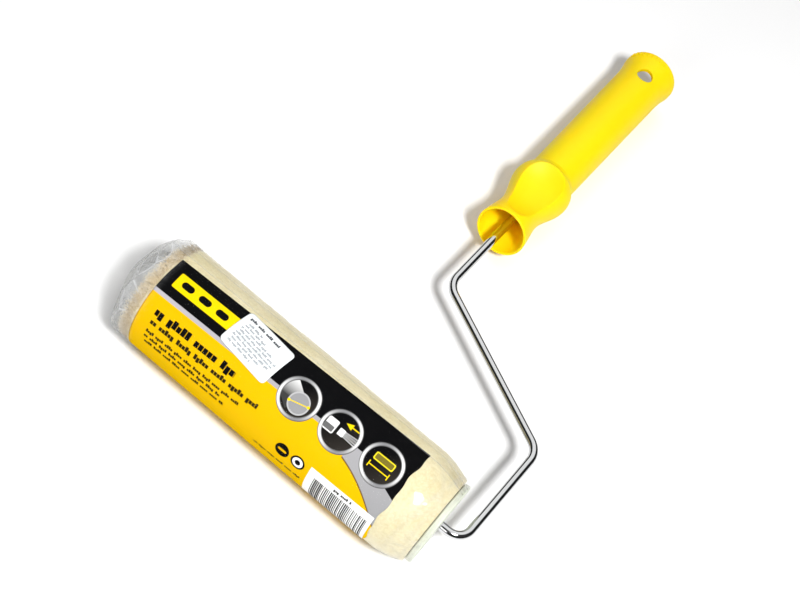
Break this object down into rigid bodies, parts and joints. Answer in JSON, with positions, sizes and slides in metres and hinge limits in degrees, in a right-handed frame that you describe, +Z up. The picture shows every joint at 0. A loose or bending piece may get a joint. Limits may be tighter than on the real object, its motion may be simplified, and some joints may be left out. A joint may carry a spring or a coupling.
{
  "type": "paint roller",
  "caption": "Hand paint roller: bent chromed rod, hooded plastic handle with thumb dish and pole socket, spinning wire cage, slide-off woven sleeve in a clear bag with a paper label.",
  "frame": {"origin": "on the floor under the middle of the part's box, with the roller lying on its sleeve and the end of its handle", "axes": "+X along the roller's axis towards the bend in the rod, +Y from the roller towards the handle, +Z up from the floor"},
  "size_m": [0.2112, 0.364, 0.0586],
  "materials": {
    "yellow_plastic": "bright yellow moulded polypropylene, satin gloss",
    "chromed_rod": "bright chromed steel rod",
    "plated_steel": "zinc-plated pressed steel",
    "spring_wire": "bright drawn spring-steel wire",
    "natural_plastic": "natural, slightly green polypropylene, a little translucent",
    "white_nylon": "white nylon, machined smooth",
    "core_tube": "spiral-wound sleeve core",
    "woven_pile": "short cream woven pile",
    "printed_paper": "coated paper printed black, yellow and silver",
    "clear_film": "thin clear packing film, glossy",
    "sticker_paper": "white self-adhesive paper"
  },
  "bodies": {
    "frame": {"handle": "yellow_plastic", "frame_rod": "chromed_rod", "inner_thrust_washer": "plated_steel", "outer_thrust_washer": "plated_steel", "push_nut": "plated_steel"},
    "cage": {"inner_end_cap": "natural_plastic", "outer_end_cap": "natural_plastic", "inner_bearing": "white_nylon", "outer_bearing": "white_nylon", "inner_wire_retainer": "natural_plastic", "outer_wire_retainer": "natural_plastic", "cage_wire_1": "spring_wire", "cage_wire_2": "spring_wire", "cage_wire_3": "spring_wire", "cage_wire_4": "spring_wire", "cage_wire_5": "spring_wire"},
    "sleeve": {"sleeve_core": "core_tube", "sleeve_pile": "woven_pile", "label": "printed_paper", "film_bag": "clear_film", "price_sticker": "sticker_paper"}
  },
  "joints": [
    {"name": "cage_spin", "type": "hinge", "parent": "frame", "child": "cage", "pos_m": [-0.00158, -0.15278, 0.0292], "axis": [1, 0, 0], "continuous": true},
    {"name": "sleeve_slide", "type": "slide", "parent": "cage", "child": "sleeve", "axis": [-1, 0, 0], "range_m": [0, 0.19]}
  ]
}
